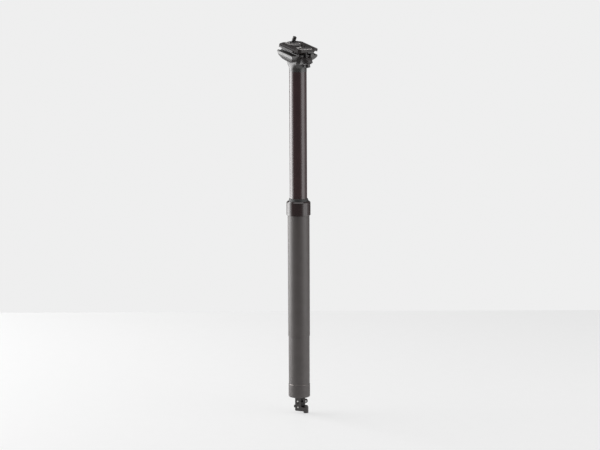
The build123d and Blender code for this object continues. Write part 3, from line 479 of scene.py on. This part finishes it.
def make_thread(which, span, look):
    """Rolled thread on one bolt's shank: one helical ridge with tapered ends."""
    start, end = span
    seat = pivot(f"{which}_bolt_swing")
    along = (pivot(f"{which}_nut_turn") - seat).normalized()
    side = along.cross(ACROSS).normalized()
    made = bmesh.new()
    rings = []
    turns = (end - start) / THREAD_PITCH
    count = int(turns * THREAD_STEPS)
    for k in range(count + 1):
        angle = 2 * math.pi * k / THREAD_STEPS
        height = start + THREAD_PITCH * k / THREAD_STEPS
        fade = min(1.0, k / THREAD_STEPS, (count - k) / THREAD_STEPS)
        crest = THREAD_ROOT + (THREAD_CREST - THREAD_ROOT) * fade
        out = side * math.cos(angle) + ACROSS * math.sin(angle)
        outline = (
            (THREAD_ROOT - THREAD_SUNK, -THREAD_ROOT_HALF),
            (crest, -THREAD_CREST_HALF),
            (crest, THREAD_CREST_HALF),
            (THREAD_ROOT - THREAD_SUNK, THREAD_ROOT_HALF),
        )
        rings.append([
            made.verts.new(seat + (out * radius + along * (height + rise)) * MM)
            for radius, rise in outline
        ])
    loft_rings(made, rings)
    made.faces.new(rings[0])
    made.faces.new(rings[-1])
    add_piece(f"{which}_bolt_thread", made, f"{which}_bolt", look)


def make_nut_ends(which, look):
    """Turned chamfers with a shallow centre dimple on both ends of a barrel nut, coloured paler
    than the nut, partly as a painted glint.
    """
    centre = pivot(f"{which}_nut_turn")
    made = bmesh.new()
    face_r = NUT_R - NUT_CHAMFER
    outline = (
        (NUT_R + LIFT, NUT_HALF - NUT_CHAMFER - NUT_BAND),
        (NUT_R + LIFT, NUT_HALF - NUT_CHAMFER),
        (face_r, NUT_HALF + LIFT),
        (face_r - NUT_LAND, NUT_HALF + LIFT),
        (face_r - NUT_LAND - DIMPLE_EDGE, NUT_HALF - DIMPLE_DEPTH),
    )
    for end in (1, -1):
        loft_rings(made, [
            circle_ring(made, centre + ACROSS * (end * reach * MM), ALONG, UP, radius, NUT_SEGMENTS)
            for radius, reach in outline
        ])
    add_piece(f"{which}_nut_ends", made, f"{which}_nut", look)


def make_pocket_rim(which, look):
    """Bead round the rim of a nut's pocket, coloured pale as a painted highlight line."""
    centre = pivot(f"{which}_nut_turn") + UP * ((CLAMP_TOP - NUT_W) * MM)
    half_u = POCKET_U + BEAD_GAP
    half_l = POCKET_L + BEAD_GAP
    path = []
    for su, sl, turn in ((1, 1, 0), (-1, 1, 90), (-1, -1, 180), (1, -1, 270)):
        for k in range(BEAD_CORNER_STEPS + 1):
            angle = math.radians(turn + 90 * k / BEAD_CORNER_STEPS)
            path.append((
                su * (half_u - BEAD_CORNER) + BEAD_CORNER * math.cos(angle),
                sl * (half_l - BEAD_CORNER) + BEAD_CORNER * math.sin(angle),
                math.cos(angle),
                math.sin(angle),
            ))
    made = bmesh.new()
    rings = []
    for u, l, out_u, out_l in path:
        point = centre + (ALONG * u + ACROSS * l) * MM
        out = ALONG * out_u + ACROSS * out_l
        rings.append([
            made.verts.new(point + (
                out * (BEAD_R * math.cos(math.pi * k / BEAD_ARC_STEPS))
                + UP * (BEAD_R * math.sin(math.pi * k / BEAD_ARC_STEPS) - LIFT)
            ) * MM)
            for k in range(BEAD_ARC_STEPS + 1)
        ])
    loft_rings(made, rings, closed_path=True)
    add_piece(f"{which}_pocket_rim", made, "saddle_clamp", look)


def make_return_spring(look):
    """Torsion spring round the lever's pivot, with short legs that clear the lever's swing."""
    centre = pivot("lever_turn")
    axis = -Vector(JOINTS["lever_turn"]["axis"]).normalized()
    across = Vector((0, 0, 1)).cross(axis).normalized()
    made = bmesh.new()
    rings = []
    count = int(SPRING_TURNS * SPRING_STEPS)
    for k in range(-SPRING_LEG_STEPS, count + SPRING_LEG_STEPS + 1):
        wound = min(max(k, 0), count)
        angle = 2 * math.pi * wound / SPRING_STEPS
        radial = across * math.cos(angle) + Vector((0, 0, math.sin(angle)))
        tangent = Vector((0, 0, math.cos(angle))) - across * math.sin(angle)
        leg = (k - wound) * SPRING_LEG / SPRING_LEG_STEPS
        height = SPRING_START + SPRING_PITCH * wound / SPRING_STEPS
        middle = centre + (radial * SPRING_R + tangent * leg + axis * height) * MM
        rings.append(circle_ring(made, middle, radial, axis, WIRE_R, WIRE_SIDES))
    loft_rings(made, rings)
    made.faces.new(rings[0])
    made.faces.new(rings[-1])
    piece = add_piece("return_spring_wire", made, "post", look)
    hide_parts("return_spring")


def make_cap_edge(look):
    """Polished, slightly crowned chamfer round the top of the bottom cap."""
    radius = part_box("bottom_cap")[1][0] / MM
    seam = -SEAM_DEPTH
    outline = (
        (radius + LIFT, seam - CAP_CHAMFER - CAP_BAND),
        (radius + LIFT, seam - CAP_CHAMFER),
        (radius - 0.5 * CAP_CHAMFER + LIFT, seam - 0.3 * CAP_CHAMFER),
        (radius - CAP_CHAMFER + LIFT, seam + LIFT),
    )
    made = bmesh.new()
    forward = Vector((1, 0, 0))
    loft_rings(made, [
        circle_ring(made, Vector((0, 0, height * MM)), forward, ACROSS, reach, CAP_SEGMENTS)
        for reach, height in outline
    ])
    add_piece("cap_edge", made, "post", look)


def make_details(looks):
    """Threads, the short-legged spring, the cap's edge, nut ends coloured paler partly as a painted
    glint, and pocket rims painted pale as highlight lines.
    """
    # Pale rim colour: a painted highlight line along each pocket's rim.
    rim_highlight_look = finish_of(
        "look_rim_painted_highlight", (0.50, 0.48, 0.47), (0.60, 0.58, 0.57),
        0.50, metallic=0.15, grain=1800.0, relief=0.03,
    )
    # Nut ends: turned steel, coloured paler partly as a painted glint.
    end_glint_look = finish_of(
        "look_nut_end_glint", (0.24, 0.23, 0.22), (0.32, 0.31, 0.30),
        0.42, metallic=0.4, grain=1800.0, relief=0.05,
    )
    edge_look = finish_of(
        "look_polished_edge", (0.12, 0.105, 0.10), (0.17, 0.15, 0.145),
        0.22, metallic=0.7, grain=1800.0, relief=0.02,
    )
    make_thread("front", FRONT_THREAD, looks["black_steel"])
    make_thread("rear", REAR_THREAD, looks["black_steel"])
    make_return_spring(looks["black_steel"])
    make_cap_edge(edge_look)
    for which in ("front", "rear"):
        make_nut_ends(which, end_glint_look)
        make_pocket_rim(which, rim_highlight_look)


make_camera()
make_world()
make_floor()
make_softboxes()
make_details(dress_nodes())
bpy.context.scene.view_settings.view_transform = "Standard"

bpy.context.view_layer.update()
